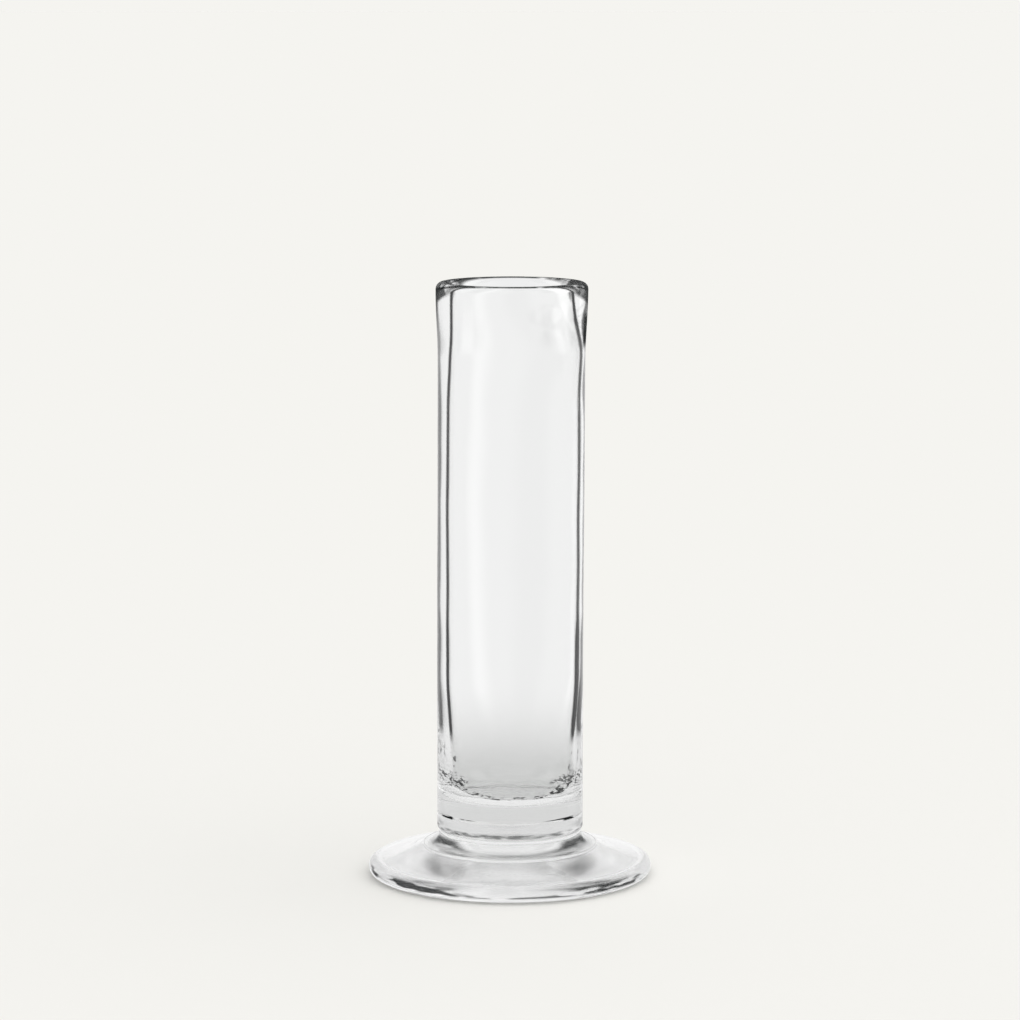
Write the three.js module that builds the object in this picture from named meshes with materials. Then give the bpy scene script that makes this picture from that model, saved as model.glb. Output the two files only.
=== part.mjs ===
// Footed glass bud vase, in millimetres, +Z up, standing on the XY plane with the axis of the vase on Z.
//
// The vase is hot glass work in three gathers, joined while soft:
//   tube    a blown cylinder with a fire-polished lip and a heavy, solid heel below the bore
//   collar  a small gather (a merese) squeezed between the heel and the foot, waisted at its top
//   foot    a solid disc pressed out with a paddle, sloping to a beaded rim that clears the table, and
//           standing on a polished ring round a shallow hollow
// The gathers meet on flat weld planes. Each one is a solid of revolution.
import * as THREE from "three";

// ---- driving dimensions -------------------------------------------------------------------------
const TOTAL_HEIGHT = 200; // table to the top of the lip

const TUBE_DIAMETER = 49; // outside, along the straight wall
const WALL = 2.5; // thickness of the straight wall
const LIP_FLARE = 0.8; // the fire-polished lip stands out past the tube by this, all round
const LIP_THICKNESS = 4.9; // the edge beads up to this when it is fire-polished
const LIP_BLEND = 24; // height over which the wall grows into the lip
const HEEL_THICKNESS = 10; // solid glass between the bore and the collar
const HEEL_EDGE = 0.9; // rounding where the heel meets the weld
const BORE_CORNER = 7.5; // radius inside, where the wall turns into the floor of the bore
const BORE_DISH = 0.7; // the floor of the bore is lower than flat by this at its middle
const WALL_SWELL = 1.6; // extra wall just above the bore's corner
const SWELL_HEIGHT = 34; // height over which that extra wall dies out

const COLLAR_HEIGHT = 6; // weld plane to weld plane
const COLLAR_WAIST = 0.5; // the collar's top is smaller than the tube by this, all round
const COLLAR_FLARE = 4.8; // the collar's skirt is wider than the tube by this, all round
const COLLAR_EDGE = 0.5; // rounding at the skirt's edge

const FOOT_DIAMETER = 95;
const FOOT_HEIGHT = 10; // table to the weld plane under the collar
const FOOT_RIM_THICKNESS = 5.4; // full round
const RIM_LIFT = 0.4; // the underside of the rim clears the table by this
const RIM_START = -80; // degrees from level at which the rim's round begins, underneath
const RIM_END = 120; // degrees from level at which it ends, in a crease at the foot of the slope
const FOOT_SAG = 0.9; // the slope of the foot dips below a straight line by this
const RING_INSET = 3; // the standing ring lies this far inside the middle of the rim
const STANDING_RING_WIDTH = 6; // flat, polished ring that the vase stands on
const UNDERSIDE_HOLLOW = 0.4; // height of the hollow inside that ring
const PONTIL_RADIUS = 11; // ground and polished mark where the iron was cracked off
const PONTIL_DEPTH = 0.3;

// ---- fineness of the facets -----------------------------------------------------------------------
const SIDES = 64; // round the axis
const ROUND_STEPS = 10; // over a half round, such as the lip
const CORNER_STEPS = 5; // over a quarter round or a small edge
const CURVE_STEPS = 6; // over a long, gentle curve
const HOLLOW_STEPS = 4; // over a shallow hollow

// ---- worked out from them -------------------------------------------------------------------------
const tubeRadius = TUBE_DIAMETER / 2;
const boreRadius = tubeRadius - WALL;
const lipRadius = tubeRadius + LIP_FLARE;
const lipRound = LIP_THICKNESS / 2;
const lipCentreRadius = lipRadius - lipRound;
const lipCentreZ = TOTAL_HEIGHT - lipRound;
const collarTopRadius = tubeRadius - COLLAR_WAIST;
const collarSkirtRadius = tubeRadius + COLLAR_FLARE;
const rimRound = FOOT_RIM_THICKNESS / 2;
const rimCentreRadius = FOOT_DIAMETER / 2 - rimRound;
const rimCentreZ = RIM_LIFT + rimRound;
const ringRadius = rimCentreRadius - RING_INSET;
const hollowRadius = ringRadius - STANDING_RING_WIDTH;
const footWeldZ = FOOT_HEIGHT;
const tubeWeldZ = footWeldZ + COLLAR_HEIGHT;
const boreFloorZ = tubeWeldZ + HEEL_THICKNESS;

// ---- curves of the profiles, each a list of [radius, z] -------------------------------------------

// The points that place(t) gives as t goes from 0 to 1, both ends included.
function sample(steps, place) {
  return Array.from({ length: steps + 1 }, (_, i) => place(i / steps));
}

// Points on a circle about [r, z], from one angle to another in degrees.
function arc(r, z, radius, fromDegrees, toDegrees, steps) {
  return sample(steps, (t) => {
    const angle = THREE.MathUtils.degToRad(THREE.MathUtils.lerp(fromDegrees, toDegrees, t));
    return [r + radius * Math.cos(angle), z + radius * Math.sin(angle)];
  });
}

// Points between two ends along which the radius eases from one to the other: upright at both ends.
function ease([r0, z0], [r1, z1]) {
  return sample(CURVE_STEPS, (t) => {
    const eased = THREE.MathUtils.smoothstep(t, 0, 1);
    return [THREE.MathUtils.lerp(r0, r1, eased), THREE.MathUtils.lerp(z0, z1, t)];
  });
}

// A shallow round hollow in a face at z, from one radius in to another. Its depth at radius r is
// depth * (1 - (r / rim)^2), so it starts at the rim and is deepest on the axis.
function hollow(rim, z, depth, fromRadius = rim, toRadius = 0) {
  return sample(HOLLOW_STEPS, (t) => {
    const r = THREE.MathUtils.lerp(fromRadius, toRadius, t);
    return [r, z + depth * (1 - (r / rim) ** 2)];
  });
}

// Drops a point that repeats the one before it.
function withoutRepeats(points) {
  const closest = 1e-4;
  return points.filter(([r, z], i) => {
    if (i === 0) return true;
    const [lastR, lastZ] = points[i - 1];
    return Math.hypot(r - lastR, z - lastZ) > closest;
  });
}

// ---- the three gathers ----------------------------------------------------------------------------

function tubeProfile() {
  const heelEdgeRadius = tubeRadius - HEEL_EDGE;
  const lipFootZ = lipCentreZ - LIP_BLEND;
  const cornerZ = boreFloorZ + BORE_CORNER;
  const swollenRadius = boreRadius - WALL_SWELL;
  const floorRadius = swollenRadius - BORE_CORNER;
  return withoutRepeats([
    [0, tubeWeldZ],
    ...arc(heelEdgeRadius, tubeWeldZ + HEEL_EDGE, HEEL_EDGE, -90, 0, CORNER_STEPS),
    ...ease([tubeRadius, lipFootZ], [lipRadius, lipCentreZ]),
    ...arc(lipCentreRadius, lipCentreZ, lipRound, 0, 180, ROUND_STEPS),
    ...ease([lipCentreRadius - lipRound, lipCentreZ], [boreRadius, lipFootZ]),
    ...ease([boreRadius, cornerZ + SWELL_HEIGHT], [swollenRadius, cornerZ]),
    ...arc(floorRadius, cornerZ, BORE_CORNER, 0, -90, CORNER_STEPS),
    ...hollow(floorRadius, boreFloorZ, -BORE_DISH),
  ]);
}

function collarProfile() {
  const edgeRadius = collarSkirtRadius - COLLAR_EDGE;
  const edgeCentreZ = footWeldZ + COLLAR_EDGE;
  const edgeTopZ = edgeCentreZ + COLLAR_EDGE;
  // a quarter of an ellipse, hollow side out, from the skirt's edge up to the waist
  const fillet = sample(CURVE_STEPS, (t) => {
    const angle = (t * Math.PI) / 2;
    return [
      edgeRadius - (edgeRadius - collarTopRadius) * Math.sin(angle),
      tubeWeldZ - (tubeWeldZ - edgeTopZ) * Math.cos(angle),
    ];
  });
  return withoutRepeats([
    [0, footWeldZ],
    ...arc(edgeRadius, edgeCentreZ, COLLAR_EDGE, -90, 90, CORNER_STEPS),
    ...fillet,
    [0, tubeWeldZ],
  ]);
}

function footProfile() {
  const rim = arc(rimCentreRadius, rimCentreZ, rimRound, RIM_START, RIM_END, ROUND_STEPS);
  const [creaseRadius, creaseZ] = rim.at(-1);
  // from the crease up to the weld, sagging most half way
  const slope = sample(CURVE_STEPS, (t) => [
    THREE.MathUtils.lerp(creaseRadius, collarSkirtRadius, t),
    THREE.MathUtils.lerp(creaseZ, footWeldZ, t) - FOOT_SAG * 4 * t * (1 - t),
  ]);
  const underside = hollow(hollowRadius, 0, UNDERSIDE_HOLLOW, hollowRadius, PONTIL_RADIUS);
  const [, pontilZ] = underside.at(-1);
  return withoutRepeats([
    ...hollow(PONTIL_RADIUS, pontilZ, PONTIL_DEPTH).reverse(),
    ...underside.reverse(),
    [ringRadius, 0],
    ...rim,
    ...slope,
    [0, footWeldZ],
  ]);
}

// ---- meshes ---------------------------------------------------------------------------------------

const clearGlass = { color: 0xf4f8f6, roughness: 0.02, metalness: 0 };

function gather(name, profile) {
  const points = profile.map(([r, z]) => new THREE.Vector2(r, z));
  const geometry = new THREE.LatheGeometry(points, SIDES);
  geometry.rotateX(Math.PI / 2); // a lathe turns about Y, and the vase stands along Z
  const mesh = new THREE.Mesh(geometry, new THREE.MeshStandardMaterial(clearGlass));
  mesh.name = name;
  return mesh;
}

const vase = new THREE.Group();
vase.add(gather("foot", footProfile()), gather("collar", collarProfile()), gather("tube", tubeProfile()));

export default vase;
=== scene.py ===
# A footed bud vase in clear glass: a hot-worked tube with a heavy heel, a squeezed collar and a
# sloping disc foot. Metres, +Z up, the axis of the vase on Z, the table at z = 0.
import math

import bpy
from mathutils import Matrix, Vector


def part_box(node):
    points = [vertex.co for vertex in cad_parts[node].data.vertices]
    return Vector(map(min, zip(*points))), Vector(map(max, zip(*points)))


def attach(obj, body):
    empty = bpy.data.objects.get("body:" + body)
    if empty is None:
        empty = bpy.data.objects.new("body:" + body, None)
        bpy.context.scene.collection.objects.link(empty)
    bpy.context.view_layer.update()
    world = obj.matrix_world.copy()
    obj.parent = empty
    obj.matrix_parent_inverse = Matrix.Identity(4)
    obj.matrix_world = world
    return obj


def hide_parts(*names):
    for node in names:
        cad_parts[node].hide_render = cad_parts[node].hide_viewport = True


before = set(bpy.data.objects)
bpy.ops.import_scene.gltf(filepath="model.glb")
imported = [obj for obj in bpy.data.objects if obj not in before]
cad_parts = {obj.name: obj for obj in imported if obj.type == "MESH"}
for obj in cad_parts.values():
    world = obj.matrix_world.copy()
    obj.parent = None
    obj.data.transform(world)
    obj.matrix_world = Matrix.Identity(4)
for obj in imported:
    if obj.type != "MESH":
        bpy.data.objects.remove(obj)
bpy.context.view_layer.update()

MM = 0.001

# ---- Camera ------------------------------------------------------------------------------------
# A long lens a good metre from the vase and a little above it, looking slightly down, so the mouth
# and the foot show as thin ellipses.
camera_distance = 1.281
camera_height = 0.298
camera_pitch = math.radians(7.75)

bpy.ops.object.camera_add(location=(0, -camera_distance, camera_height))
camera = bpy.context.object
camera.rotation_euler = (math.pi / 2 - camera_pitch, 0, 0)
camera.data.lens = 136.7
camera.data.sensor_width = 36
camera.data.clip_start = 0.05
camera.data.clip_end = 60
bpy.context.scene.camera = camera

# ---- Tube --------------------------------------------------------------------------------------
# The blown cylinder: about 2.5 mm of glass round a 44 mm bore, a fire-polished lip that beaded up
# in the flame, and a solid heel. It was blown and drawn by hand, so the bore runs a little off
# centre, the wall is uneven and the whole tube leans by a hair.
tube_low, tube_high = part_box("tube")
weld_z = tube_low[2]  # where the heel sits on the collar
lip_radius = tube_high[0]
lip_flare = 0.8 * MM
lip_round = 2.45 * MM
lip_blend = 24 * MM
tube_radius = lip_radius - lip_flare
wall = 2.5 * MM
heel_edge = 0.9 * MM
heel_thickness = 10 * MM
bore_corner = 7.5 * MM
bore_dish = 0.7 * MM
wall_swell = 1.6 * MM
swell_height = 34 * MM
groove_z = weld_z + 6 * MM  # a shallow mark that the tools left round the heel
groove_reach = 0.5 * MM
groove_depth = 0.2 * MM
lean = 0.7 * MM  # the lip is this far out of plumb, towards +X
bore_drift = 0.6 * MM  # the bore is this far off centre, towards +X
centring = 0.75 * lip_blend  # depth below the lip over which the bore wanders off centre
bore_sag = 0.4 * MM  # and this much further where the soft wall sagged under the lip
sag_z = 178 * MM
sag_reach = 20 * MM
sides = 192  # round the axis, on every gather
ring_pitch = 2.5 * MM  # between the rings of a straight wall
floor_steps = 12  # rings from the bore's corner to its middle
groove_steps = 3  # rings on each side of the groove
same_place = 1e-6  # places closer than this are the same


def mix(a, b, share):
    return a + (b - a) * share


def ease(share):
    return share * share * (3 - 2 * share)


def arc(radius, height, size, start, end, steps):
    """Rings on a circle about (radius, height), from one angle to another in degrees."""
    angles = [math.radians(mix(start, end, step / steps)) for step in range(steps + 1)]
    return [(radius + size * math.cos(a), height + size * math.sin(a)) for a in angles]


def drawn(start, end):
    """Rings from one (radius, height) to another, the radius easing in and out."""
    steps = max(2, round(abs(end[1] - start[1]) / ring_pitch))
    shares = [step / steps for step in range(steps + 1)]
    return [(mix(start[0], end[0], ease(s)), mix(start[1], end[1], s)) for s in shares]


def gather(name, outline, drift=lambda height, inside: 0.0):
    """A closed piece of glass: a disc, extruded through rings of (radius, height). drift says how
    far off the axis a ring is, and is told whether the rings have turned back down inside."""
    bpy.ops.object.select_all(action="DESELECT")
    (radius, height), *rest = outline
    bpy.ops.mesh.primitive_circle_add(
        vertices=sides, radius=radius, location=(0, 0, height), fill_type="NGON"
    )
    bpy.ops.object.transform_apply(location=True)
    piece = bpy.context.object
    piece.name = piece.data.name = name
    bpy.ops.object.mode_set(mode="EDIT")
    bpy.ops.mesh.select_mode(type="FACE")
    bpy.ops.mesh.select_all(action="SELECT")
    shift = 0.0
    inside = False
    for next_radius, next_height in rest:
        if math.hypot(next_radius - radius, next_height - height) < same_place:
            continue
        inside = inside or next_height < height - same_place
        next_shift = drift(next_height, inside)
        bpy.ops.mesh.extrude_region_move(
            TRANSFORM_OT_translate={"value": (next_shift - shift, 0, next_height - height)}
        )
        share = next_radius / radius
        bpy.ops.transform.resize(
            value=(share, share, 1), center_override=(next_shift, 0, next_height)
        )
        radius, height, shift = next_radius, next_height, next_shift
    bpy.ops.mesh.select_all(action="SELECT")
    bpy.ops.mesh.normals_make_consistent(inside=False)
    bpy.ops.object.mode_set(mode="OBJECT")
    bpy.ops.object.shade_smooth()
    return piece


lip_middle = lip_radius - lip_round
lip_centre_z = tube_high[2] - lip_round
lip_foot_z = lip_centre_z - lip_blend
bore_radius = tube_radius - wall
bore_floor_z = weld_z + heel_thickness
corner_z = bore_floor_z + bore_corner
swollen_radius = bore_radius - wall_swell
floor_radius = swollen_radius - bore_corner
weld_radius = tube_radius - heel_edge

groove_shares = [step / groove_steps for step in range(-groove_steps, groove_steps + 1)]
groove_rings = [
    (tube_radius - groove_depth * ease(1 - abs(share)), groove_z + groove_reach * share)
    for share in groove_shares
]
floor_shares = [1 - step / floor_steps for step in range(1, floor_steps)]
floor_rings = [
    (floor_radius * share, bore_floor_z - bore_dish * (1 - share * share))
    for share in floor_shares
]
tube_outline = [
    *arc(weld_radius, weld_z + heel_edge, heel_edge, -90, 0, 6),
    *drawn((tube_radius, weld_z + heel_edge), (tube_radius, groove_z - groove_reach)),
    *groove_rings,
    *drawn((tube_radius, groove_z + groove_reach), (tube_radius, lip_foot_z)),
    *drawn((tube_radius, lip_foot_z), (lip_radius, lip_centre_z)),
    *arc(lip_middle, lip_centre_z, lip_round, 0, 180, 24),
    *drawn((lip_middle - lip_round, lip_centre_z), (bore_radius, lip_foot_z)),
    *drawn((bore_radius, lip_foot_z), (bore_radius, corner_z + swell_height)),
    *drawn((bore_radius, corner_z + swell_height), (swollen_radius, corner_z)),
    *arc(floor_radius, corner_z, bore_corner, 0, -90, 14),
    *floor_rings,
]


def ramp(value, start, end):
    """0 where the value is at start and 1 where it is at end, straight between."""
    return min(1.0, max(0.0, (value - start) / (end - start)))


def peak(value, middle, reach):
    """1 where the value is in the middle, down to 0 where it is reach away."""
    return max(0.0, 1 - abs(value - middle) / reach)


def tube_drift(height, inside):
    """The lean of the whole tube, and the wander of the bore where it is clear of the lip."""
    rise = (height - weld_z) / (lip_centre_z - weld_z)
    shift = lean * rise * rise
    if inside:
        shift += bore_drift * ease(ramp(height, lip_centre_z, lip_centre_z - centring))
        shift += bore_sag * ease(peak(height, sag_z, sag_reach))
    return shift


tube = gather("tube_glass", tube_outline, tube_drift)


def waver(piece, name, size, depth, weight):
    """Unevenness of hand-worked glass: a soft cloud of bumps, pressed in by weight(point)."""
    pressed = piece.vertex_groups.new(name=name)
    for vertex in piece.data.vertices:
        pressed.add([vertex.index], weight(vertex.co), "REPLACE")
    texture = bpy.data.textures.new(name, "CLOUDS")
    texture.noise_scale = size
    texture.noise_depth = 1
    bpy.context.view_layer.objects.active = piece
    made = piece.modifiers.new(name, "DISPLACE")
    made.texture = texture
    made.strength = depth
    made.mid_level = 0.5
    made.vertex_group = name
    bpy.ops.object.modifier_apply(modifier=name)


mid_wall_radius = tube_radius - 0.6 * wall  # the bore is inside this, the outer face outside it
floor_fade = 4 * MM  # the bore's unevenness dies out over this, down to its floor
heel_fade = 12 * MM  # and that of the outer face over this, down to the weld
corner_reach = 16 * MM


def in_bore(point):
    inside = math.hypot(point.x, point.y) < mid_wall_radius
    above_floor = ramp(point.z, bore_floor_z, bore_floor_z + floor_fade)
    below_lip = ramp(point.z, lip_centre_z, lip_foot_z)
    return above_floor * below_lip if inside else 0.0


def at_bore_corner(point):
    off_axis = ramp(math.hypot(point.x, point.y), 0.7 * floor_radius, 1.7 * floor_radius)
    return in_bore(point) * off_axis * peak(point.z, corner_z, corner_reach)


def outside_wall(point):
    outside = math.hypot(point.x, point.y) > mid_wall_radius
    return ramp(point.z, weld_z, weld_z + heel_fade) if outside else 0.0


waver(tube, "bore_waver", 32 * MM, 0.22 * MM, in_bore)
waver(tube, "corner_waver", 6 * MM, 0.5 * MM, at_bore_corner)
waver(tube, "wall_waver", 34 * MM, 0.2 * MM, outside_wall)


class Shade:
    """A shader socket for use in Python expressions: each operator adds its Math node."""

    def __init__(self, tree, socket=None):
        self.tree = tree
        self.socket = socket

    def node(self, kind, inputs=(), output=0, **settings):
        """Adds a node: its settings first, then the values or links of its sockets."""
        made = self.tree.nodes.new(kind)
        for name, value in settings.items():
            setattr(made, name, value)
        for name, value in dict(inputs).items():
            if isinstance(value, Shade):
                self.tree.links.new(value.socket, made.inputs[name])
            else:
                made.inputs[name].default_value = value
        return Shade(self.tree, made.outputs[output])

    def math(self, operation, *values):
        return self.node("ShaderNodeMath", enumerate(values), operation=operation)

    def __add__(self, other):
        return self.math("ADD", self, other)

    def __radd__(self, other):
        return self.math("ADD", other, self)

    def __sub__(self, other):
        return self.math("SUBTRACT", self, other)

    def __rsub__(self, other):
        return self.math("SUBTRACT", other, self)

    def __mul__(self, other):
        return self.math("MULTIPLY", self, other)

    def __truediv__(self, other):
        return self.math("DIVIDE", self, other)

    def __abs__(self):
        return self.math("ABSOLUTE", self)

    def rise(self, low, high):
        """0 up to low, 1 from high on, smooth between."""
        inputs = {"Value": self, "From Min": low, "From Max": high}
        return self.node("ShaderNodeMapRange", inputs, interpolation_type="SMOOTHSTEP")

    def between(self, low, high, soft):
        """1 from low to high, each end softened by soft both ways."""
        return self.rise(low - soft, low + soft) * (1 - self.rise(high - soft, high + soft))

    def colours(self, first, second):
        """The first colour where the mask is 0, the second where it is 1."""
        inputs = {0: self, 6: first, 7: second}
        return self.node("ShaderNodeMix", inputs, output=2, data_type="RGBA")

    def shaders(self, first, second):
        """The first shader where the mask is 0, the second where it is 1."""
        return self.node("ShaderNodeMixShader", {0: self, 1: first, 2: second})

    def feed(self, socket):
        self.tree.links.new(self.socket, socket)


def clear_glass(name, cast, ripple_size, ripple_depth):
    """Fire-polished soda glass with a slight cast, and the faint ripple that the tools leave."""
    material = bpy.data.materials.new(name)
    material.use_nodes = True
    surface = material.node_tree.nodes["Principled BSDF"]
    surface.inputs["Base Color"].default_value = cast
    surface.inputs["Roughness"].default_value = 0.0
    surface.inputs["IOR"].default_value = 1.5
    surface.inputs["Transmission Weight"].default_value = 1.0
    start = Shade(material.node_tree)
    place = start.node("ShaderNodeTexCoord", output="Object")
    inputs = {"Vector": place, "Scale": 1 / ripple_size, "Detail": 1.5, "Distortion": 0.6}
    ripple = start.node("ShaderNodeTexNoise", inputs)
    bump = start.node("ShaderNodeBump", {"Height": ripple, "Distance": ripple_depth})
    bump.feed(surface.inputs["Normal"])
    return material


def weld_glass():
    """The inside of a hot weld: no surface is left there, so light goes straight on."""
    material = bpy.data.materials.new("weld_glass")
    material.use_nodes = True
    surface = material.node_tree.nodes["Principled BSDF"]
    surface.inputs["Base Color"].default_value = (1, 1, 1, 1)
    surface.inputs["Alpha"].default_value = 0.0
    return material


weld_material = weld_glass()
level = 0.999  # how far up or down a level face's normal points


def finish_glass(piece, material, *weld_heights):
    """Polished glass all over, and open glass on the flat faces that are welded."""
    piece.data.materials.append(material)
    piece.data.materials.append(weld_material)
    for face in piece.data.polygons:
        welded = any(abs(face.center.z - height) < same_place for height in weld_heights)
        if welded and abs(face.normal.z) > level:
            face.material_index = 1


def turn(across, along):
    """The bearing of a place or direction: 0 behind the vase, positive towards +X."""
    return across.math("ARCTAN2", across, along)


def sideways(bearing):
    """0 straight behind and straight in front, up to a right angle at the two sides."""
    turned = abs(bearing)
    return bearing.math("MINIMUM", turned, math.pi - turned)


class Edges:
    """Masks for painted shade on clear glass: black mixed in at grazing angles on the near side,
    and inside, where light only just gets out."""

    # painted shade: the black mixed into the glass, in place of the dark surroundings seen through
    # its edges
    black = (0.01, 0.012, 0.012, 1)
    trapped = 0.262  # facing, seen from inside, at the angle from which no light gets out
    trapped_soft = 0.008

    def __init__(self, material):
        self.tree = material.node_tree
        start = Shade(self.tree)
        self.place = start.node("ShaderNodeTexCoord", output="Object")
        parts = self.tree.nodes.new("ShaderNodeSeparateXYZ")
        self.place.feed(parts.inputs[0])
        self.across = Shade(self.tree, parts.outputs[0])
        self.along = Shade(self.tree, parts.outputs[1])
        self.height = Shade(self.tree, parts.outputs[2])
        self.side = sideways(turn(self.across, self.along))
        self.facing = start.node("ShaderNodeLayerWeight", {"Blend": 0.5}, output="Facing")
        self.leaving = start.node("ShaderNodeNewGeometry", output="Backfacing")
        self.entering = 1 - self.leaving

    def escape(self, low):
        """Light on its way out, close to the angle at which it is trapped: low sets how close."""
        return self.leaving * self.facing.between(low, self.trapped, self.trapped_soft)

    def specks(self, size, low, high, flat=1.0):
        """A random mask, its spots of about one size, and flat times as wide as they are high."""
        spread = {0: self.place, 1: (1, 1, flat)}
        place = self.place.node("ShaderNodeVectorMath", spread, operation="MULTIPLY")
        inputs = {"Vector": place, "Scale": 1 / size, "Detail": 2.0}
        return self.place.node("ShaderNodeTexNoise", inputs).rise(low, high)

    def draw(self, *shares):
        """Mixes painted shade, a black diffuse, into the glass by the greatest of the shares."""
        share = shares[0]
        for other in shares[1:]:
            share = share.math("MAXIMUM", share, other)
        glass = Shade(self.tree, self.tree.nodes["Principled BSDF"].outputs[0])
        dark = share.node("ShaderNodeBsdfDiffuse", {"Color": self.black})
        share.shaders(glass, dark).feed(self.tree.nodes["Material Output"].inputs["Surface"])


thin_cast = (0.985, 0.987, 0.985, 1)  # up the wall
thick_cast = (0.725, 0.73, 0.725, 1)  # in the solid heel
tube_material = clear_glass("tube_clear_glass", thin_cast, 14 * MM, 0.01 * MM)
tube_surface = tube_material.node_tree.nodes["Principled BSDF"]
edges = Edges(tube_material)
cast = edges.height.rise(19 * MM, 63 * MM).colours(thick_cast, thin_cast)
cast.feed(tube_surface.inputs["Base Color"])

# Painted shade: a dark upright line where the bore shows in each wall, heavier low down on the
# right.
low_wall = edges.height.between(50 * MM, 85 * MM, 6 * MM)
right_wall = edges.across.rise(-5 * MM, 5 * MM)
heavy_painted_line = edges.escape(0.225) * low_wall * (right_wall * 0.8 + 0.2)
fine_painted_line = edges.escape(0.237) * edges.height.rise(45 * MM, 52 * MM)
bore_painted_line = (heavy_painted_line + fine_painted_line) * 0.97

# Painted shade on the lip's bead: dark along the back and at the front right, and pale at the sides.
# Painted shade also darkens its shoulder here and there.
behind = edges.along.rise(-20 * MM, 20 * MM)
in_front = 1 - edges.along.rise(-10 * MM, 6 * MM)
front_right = edges.across.rise(6 * MM, 16 * MM) * in_front
bead_all_round = (behind * 0.4 + 0.6) * (1 - edges.side.rise(0.6, 1.3) * 0.8)
bead_depth = bead_all_round.math("MAXIMUM", bead_all_round, front_right * 0.9)
bead = edges.height.rise(197.6 * MM, 198.6 * MM) * bead_depth
bead_painted_line = edges.entering * edges.facing.rise(0.55, 0.78) * bead
shoulder = (edges.height + edges.facing * (10 * MM)).rise(200.4 * MM, 202.2 * MM)
shoulder_painted_marks = shoulder * edges.specks(7 * MM, 0.32, 0.54)
shoulder_painted_line = edges.entering * edges.facing.rise(0.30, 0.50) * shoulder_painted_marks * 0.9

# Painted shade darkens the outer edges of the flared lip, with one pinched place on the right.
# Further down, painted shade makes the wall's own edges only a little darker than the rest.
near_lip = edges.height.rise(168 * MM, 197 * MM)
ears = (edges.facing + near_lip * 0.32).rise(0.95, 1.22)
ear_painted_line = edges.entering * ears * near_lip * 0.85
pinch = edges.height.between(179 * MM, 190.5 * MM, 2 * MM) * edges.across.rise(18 * MM, 22 * MM)
pinch_painted_line = edges.entering * edges.facing.rise(0.66, 0.76) * pinch * 0.95
wall_edge = edges.facing.rise(0.50, 0.72) * 0.08 + edges.facing.rise(0.86, 1.0) * 0.2
wall_painted_line = edges.entering * wall_edge

# Painted shade: small dark marks crowd round the bore's corner, and thin out above it.
corner = edges.height.between(24.5 * MM, 36 * MM, 1 * MM) * edges.specks(2 * MM, 0.50, 0.57, 2.5)
corner_painted_line = edges.escape(0.17) * corner * 0.95
upper_specks = edges.height.between(32 * MM, 44 * MM, 3 * MM) * edges.specks(2.2 * MM, 0.54, 0.62)
upper_painted_specks = edges.escape(0.225) * upper_specks * 0.85

# Painted shade on the heel: a greyer band, dark parts along the mark of the tools above it, and dark
# along the uneven seam of the weld below.
band_painted_shade = edges.entering * edges.height.between(17.8 * MM, 21.6 * MM, 0.5 * MM) * 0.13
groove = edges.height.between(groove_z - groove_reach, groove_z + groove_reach, 0.15 * MM)
groove_parts = edges.facing.between(0.31, 0.60, 0.03) * edges.specks(9 * MM, 0.34, 0.42)
groove_painted_line = edges.entering * groove * groove_parts
seam_z = weld_z + 1.4 * MM
seam_reach = 0.7 * MM
seam = edges.height.between(seam_z - seam_reach, seam_z + seam_reach, 0.3 * MM)
seam_painted_line = edges.entering * seam * edges.specks(6 * MM, 0.30, 0.62, 5) * 0.7

edges.draw(
    bore_painted_line,
    bead_painted_line,
    shoulder_painted_line,
    ear_painted_line,
    pinch_painted_line,
    wall_painted_line,
    corner_painted_line,
    upper_painted_specks,
    band_painted_shade,
    groove_painted_line,
    seam_painted_line,
)
finish_glass(tube, tube_material, weld_z)
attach(tube, "root")
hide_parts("tube")

# ---- Collar ------------------------------------------------------------------------------------
# The merese: a small gather squeezed between heel and foot while soft. It is waisted under the
# heel and flares to a skirt that ends in a fine bead on the foot.
collar_low, collar_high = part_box("collar")
foot_weld_z = collar_low[2]
skirt_radius = collar_high[0]
skirt_edge = 0.5 * MM
waist_edge = 0.4 * MM
waist_radius = weld_radius + waist_edge
skirt_weld_radius = skirt_radius - skirt_edge
skirt_top_z = foot_weld_z + 2 * skirt_edge
waist_z = weld_z - waist_edge


def fillet(start, end, steps):
    """A quarter of an ellipse, hollow side out, from a low wide ring to a high narrow one."""
    angles = [step / steps * math.pi / 2 for step in range(steps + 1)]
    return [
        (mix(start[0], end[0], math.sin(a)), mix(end[1], start[1], math.cos(a))) for a in angles
    ]


collar_outline = [
    *arc(skirt_weld_radius, foot_weld_z + skirt_edge, skirt_edge, -90, 90, 12),
    *fillet((skirt_weld_radius, skirt_top_z), (waist_radius, waist_z), 28),
    *arc(waist_radius - waist_edge, waist_z, waist_edge, 0, 90, 6),
]
collar = gather("collar_glass", collar_outline)

flank_z = (foot_weld_z + weld_z) / 2
flank_reach = (weld_z - foot_weld_z) / 2.2


def on_flank(point):
    """Full on the open flank of the collar, nothing near either weld."""
    return peak(point.z, flank_z, flank_reach)


waver(collar, "collar_waver", 11 * MM, 0.5 * MM, on_flank)

collar_cast = (0.80, 0.805, 0.80, 1)
collar_material = clear_glass("collar_clear_glass", collar_cast, 9 * MM, 0.03 * MM)
edges = Edges(collar_material)
# Painted shade: dark crescents on the collar's flank, and a lighter dark where light only just gets
# out.
flank = edges.height.between(11.8 * MM, 14.4 * MM, 0.8 * MM)
painted_lobes = edges.facing.between(0.30, 0.78, 0.09) * edges.specks(15 * MM, 0.30, 0.50, 6)
edges.draw(edges.entering * flank * painted_lobes * 0.85, edges.escape(0.235) * 0.5)
finish_glass(collar, collar_material, foot_weld_z, weld_z)
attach(collar, "root")
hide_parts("collar")

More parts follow.
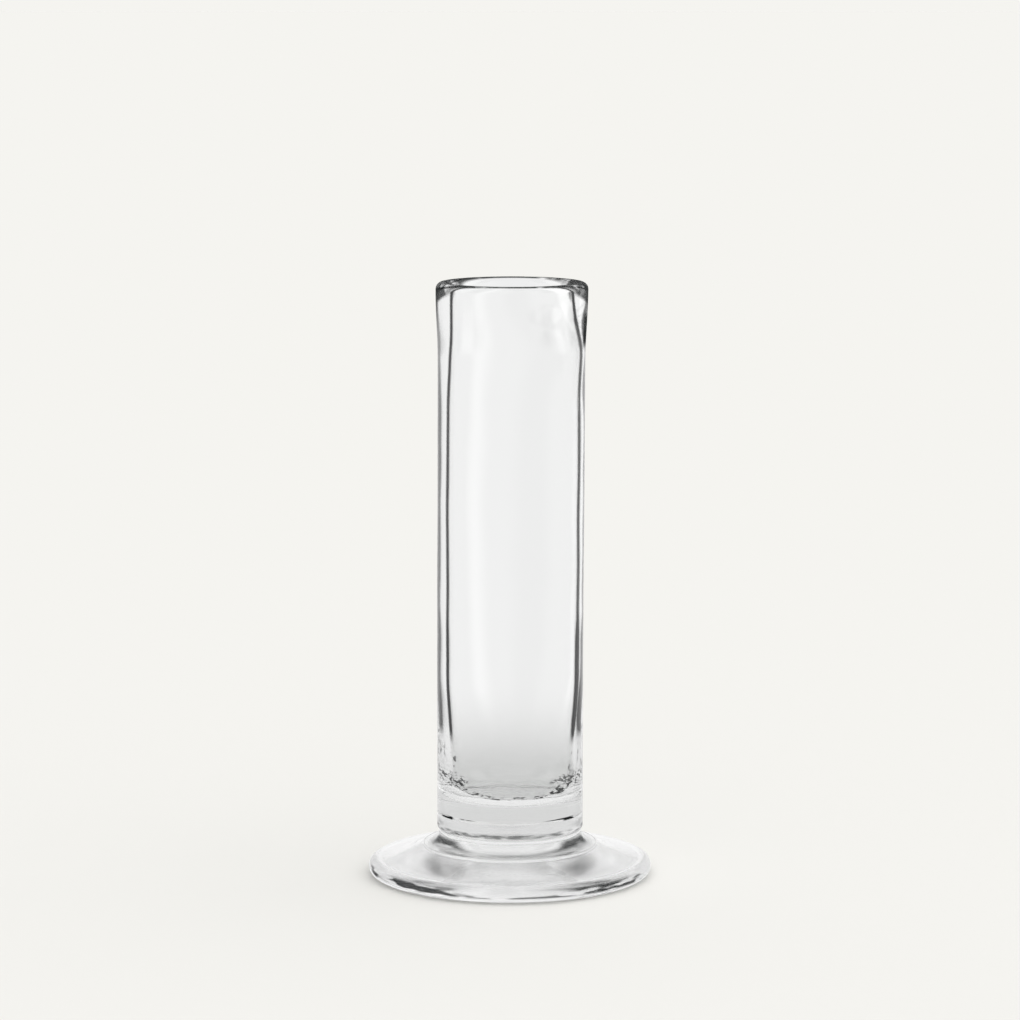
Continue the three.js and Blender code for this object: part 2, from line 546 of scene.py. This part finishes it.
# ---- Foot --------------------------------------------------------------------------------------
# A gather pressed out with a paddle: it slopes from the collar to a full, round rim that clears the
# table. It stands on a polished ring round a shallow hollow, with the mark where the iron came off.
foot_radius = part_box("foot")[1][0]
rim_round = 2.7 * MM
rim_centre_radius = foot_radius - rim_round
foot_sag = 0.9 * MM
rim_lift = 0.4 * MM
rim_start = -80  # degrees from level at which the rim's round begins, underneath
rim_end = 120  # degrees from level at which it ends, in a crease at the foot of the slope
ring_inset = 3 * MM
ring_width = 6 * MM
underside_hollow = 0.4 * MM
pontil_radius = 11 * MM
pontil_depth = 0.3 * MM
rim_centre_z = rim_lift + rim_round
crease_radius = rim_centre_radius + rim_round * math.cos(math.radians(rim_end))
crease_z = rim_centre_z + rim_round * math.sin(math.radians(rim_end))
ring_radius = rim_centre_radius - ring_inset
hollow_radius = ring_radius - ring_width
pontil_steps = 8
hollow_steps = 16
slope_steps = 24


def underside(radius):
    return underside_hollow * (1 - (radius / hollow_radius) ** 2)


pontil_z = underside(pontil_radius)
pontil_shares = [step / pontil_steps for step in range(1, pontil_steps + 1)]
pontil_rings = [
    (pontil_radius * share, pontil_z + pontil_depth * (1 - share * share))
    for share in pontil_shares
]
hollow_radii = [
    mix(pontil_radius, hollow_radius, step / hollow_steps) for step in range(hollow_steps + 1)
]
slope_shares = [step / slope_steps for step in range(slope_steps + 1)]
slope_rings = [
    (
        mix(crease_radius, skirt_radius, share),
        mix(crease_z, foot_weld_z, share) - foot_sag * 4 * share * (1 - share),
    )
    for share in slope_shares
]
foot_outline = [
    *pontil_rings,
    *[(radius, underside(radius)) for radius in hollow_radii],
    (ring_radius, 0),
    *arc(rim_centre_radius, rim_centre_z, rim_round, rim_start, rim_end, 32),
    *slope_rings,
    (skirt_weld_radius, foot_weld_z),
]
foot = gather("foot_glass", foot_outline)


def on_slope(point):
    """Full on the slope and the rim, nothing under the collar's skirt or on the standing ring."""
    radius = math.hypot(point.x, point.y)
    return ramp(radius, skirt_radius, skirt_radius + 6 * MM) * ramp(point.z, 0, 2 * MM)


waver(foot, "foot_waver", 24 * MM, 0.5 * MM, on_slope)

foot_cast = (0.995, 0.997, 0.995, 1)
foot_material = clear_glass("foot_clear_glass", foot_cast, 12 * MM, 0.02 * MM)
edges = Edges(foot_material)
# Painted shade: dark streaks on the rim's round.
on_round = edges.height.between(2.0 * MM, 4.6 * MM, 0.5 * MM)
painted_streaks = edges.facing.between(0.10, 0.78, 0.05) * edges.specks(17 * MM, 0.44, 0.53, 7)
edges.draw(edges.entering * on_round * painted_streaks * 0.9)
finish_glass(foot, foot_material, foot_weld_z)

# The underside is ground flat and only half polished, so it mirrors the slope above it softly.
half_polished = 0.24
downward = -0.9  # a face's normal, straight down being -1
ground_material = clear_glass("ground_glass", foot_cast, 12 * MM, 0.02 * MM)
ground_surface = ground_material.node_tree.nodes["Principled BSDF"]
ground_surface.inputs["Roughness"].default_value = half_polished
foot.data.materials.append(ground_material)
ground_slot = len(foot.data.materials) - 1
for face in foot.data.polygons:
    if face.normal.z < downward:
        face.material_index = ground_slot
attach(foot, "root")
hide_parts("foot")

# ---- Stage -------------------------------------------------------------------------------------
# A plain pale table that runs out to the horizon, in a studio with soft light: pale walls in front
# and behind, black flags at the four corners, tall light boxes at the sides and one overhead.
paper = (0.913, 0.905, 0.871, 1)
soft_gain = 1.175  # of the light on the table; its paper is as much darker, with room for painted_light_paper
far_paper = tuple(channel / soft_gain for channel in paper[:3]) + (1,)
# Painted light: close round the foot the paper is paler, which makes up for the shade that the glass
# casts there.
painted_light_paper = tuple(channel * 1.12 for channel in far_paper[:3]) + (1,)  # close round the foot
near_reach = 50 * MM
near_fall = -1.9  # power of the distance by which painted_light_paper gives way to far_paper
table_radius = 40
table_gap = 0.02 * MM  # keeps the standing ring and the table from sharing one plane
white = (1, 1, 1, 1)


def panel(bearing, start, end, soft):
    """1 between two bearings in degrees, with edges that are soft by as much."""
    return bearing.between(math.radians(start), math.radians(end), math.radians(soft))


def unevenness(bearing):
    """How far the wall behind the vase is from even: brighter to the right, duller in the middle."""
    right = panel(bearing, 11, 36, 2) * 0.16
    left = panel(bearing, -8, -5, 1.5) * 0.08
    middle = panel(bearing, -1.2, 2.2, 1) * 0.03
    return right + left - middle


bpy.ops.object.select_all(action="DESELECT")
bpy.ops.mesh.primitive_circle_add(
    vertices=96, radius=table_radius, location=(0, 0, -table_gap), fill_type="NGON"
)
bpy.ops.object.transform_apply(location=True)
table = bpy.context.object
table.name = "table"
table_material = bpy.data.materials.new("pale_table")
table_material.use_nodes = True
tree = table_material.node_tree
tree.nodes.clear()
start = Shade(tree)
place = start.node("ShaderNodeTexCoord", output="Object")
parts = tree.nodes.new("ShaderNodeSeparateXYZ")
place.feed(parts.inputs[0])
from_vase = start.node("ShaderNodeVectorMath", {0: place}, output="Value", operation="LENGTH")
bearing = turn(Shade(tree, parts.outputs[0]), Shade(tree, parts.outputs[1]))

# The camera sees matt paper. Light through the glass sees a painted glow instead, a little brighter
# close round the foot and uneven far off, which keeps the inside of the glass clean.
seen = start.node("ShaderNodeLightPath", output="Is Camera Ray")
near_foot = 0.97 - from_vase.rise(30 * MM, 110 * MM) * 0.07
brightness = near_foot + from_vase.rise(150 * MM, 300 * MM) * unevenness(bearing)
glow = start.node("ShaderNodeEmission", {"Color": white, "Strength": brightness})
# Painted light: paler paper close round the foot.
painted_light_share = start.math("POWER", from_vase / near_reach, near_fall)
matt = start.node("ShaderNodeBsdfDiffuse", {"Color": painted_light_share.colours(far_paper, painted_light_paper)})
output = tree.nodes.new("ShaderNodeOutputMaterial")
seen.shaders(glow, matt).feed(output.inputs["Surface"])
table.data.materials.append(table_material)

world = bpy.data.worlds.new("studio")
bpy.context.scene.world = world
world.use_nodes = True
world.cycles.sampling_method = "NONE"
tree = world.node_tree
tree.nodes.clear()
start = Shade(tree)
direction = start.node("ShaderNodeTexCoord", output="Generated")
parts = tree.nodes.new("ShaderNodeSeparateXYZ")
direction.feed(parts.inputs[0])
across, along, up = (Shade(tree, parts.outputs[axis]) for axis in range(3))
bearing = turn(across, along)
side = sideways(bearing)
below_top = 1 - up.rise(0.75, 0.85)
flags = side.between(math.radians(50), math.radians(71), 0.05) * below_top * up.rise(0.15, 0.32)
side_boxes = side.rise(math.radians(73), math.radians(79)) * below_top * up.rise(0.05, 0.2)
top_box = up.rise(0.80, 0.86)
walls = 0.90 + unevenness(bearing)
light = (walls + side_boxes * 0.9 - top_box * 0.1) * (1 - flags * 0.98)

# The camera sees a plain backdrop, the glass sees the studio, and the table is lit softly, mostly
# from above and from the right.
on_table = (0.7 + up * 0.45) * (1 + across * 0.35) * soft_gain
seen = start.node("ShaderNodeLightPath", output="Is Camera Ray")
lighting = start.node("ShaderNodeLightPath", output="Is Diffuse Ray")
studio = start.node("ShaderNodeBackground", {"Color": white, "Strength": light})
soft_light = start.node("ShaderNodeBackground", {"Color": white, "Strength": on_table})
backdrop = start.node("ShaderNodeBackground", {"Color": paper, "Strength": 1.0})
output = tree.nodes.new("ShaderNodeOutputWorld")
seen.shaders(lighting.shaders(studio, soft_light), backdrop).feed(output.inputs["Surface"])

scene = bpy.context.scene
scene.view_settings.view_transform = "Standard"
scene.cycles.max_bounces = 64
scene.cycles.transmission_bounces = 64
scene.cycles.glossy_bounces = 48
scene.cycles.transparent_max_bounces = 24
scene.cycles.sample_clamp_indirect = 6
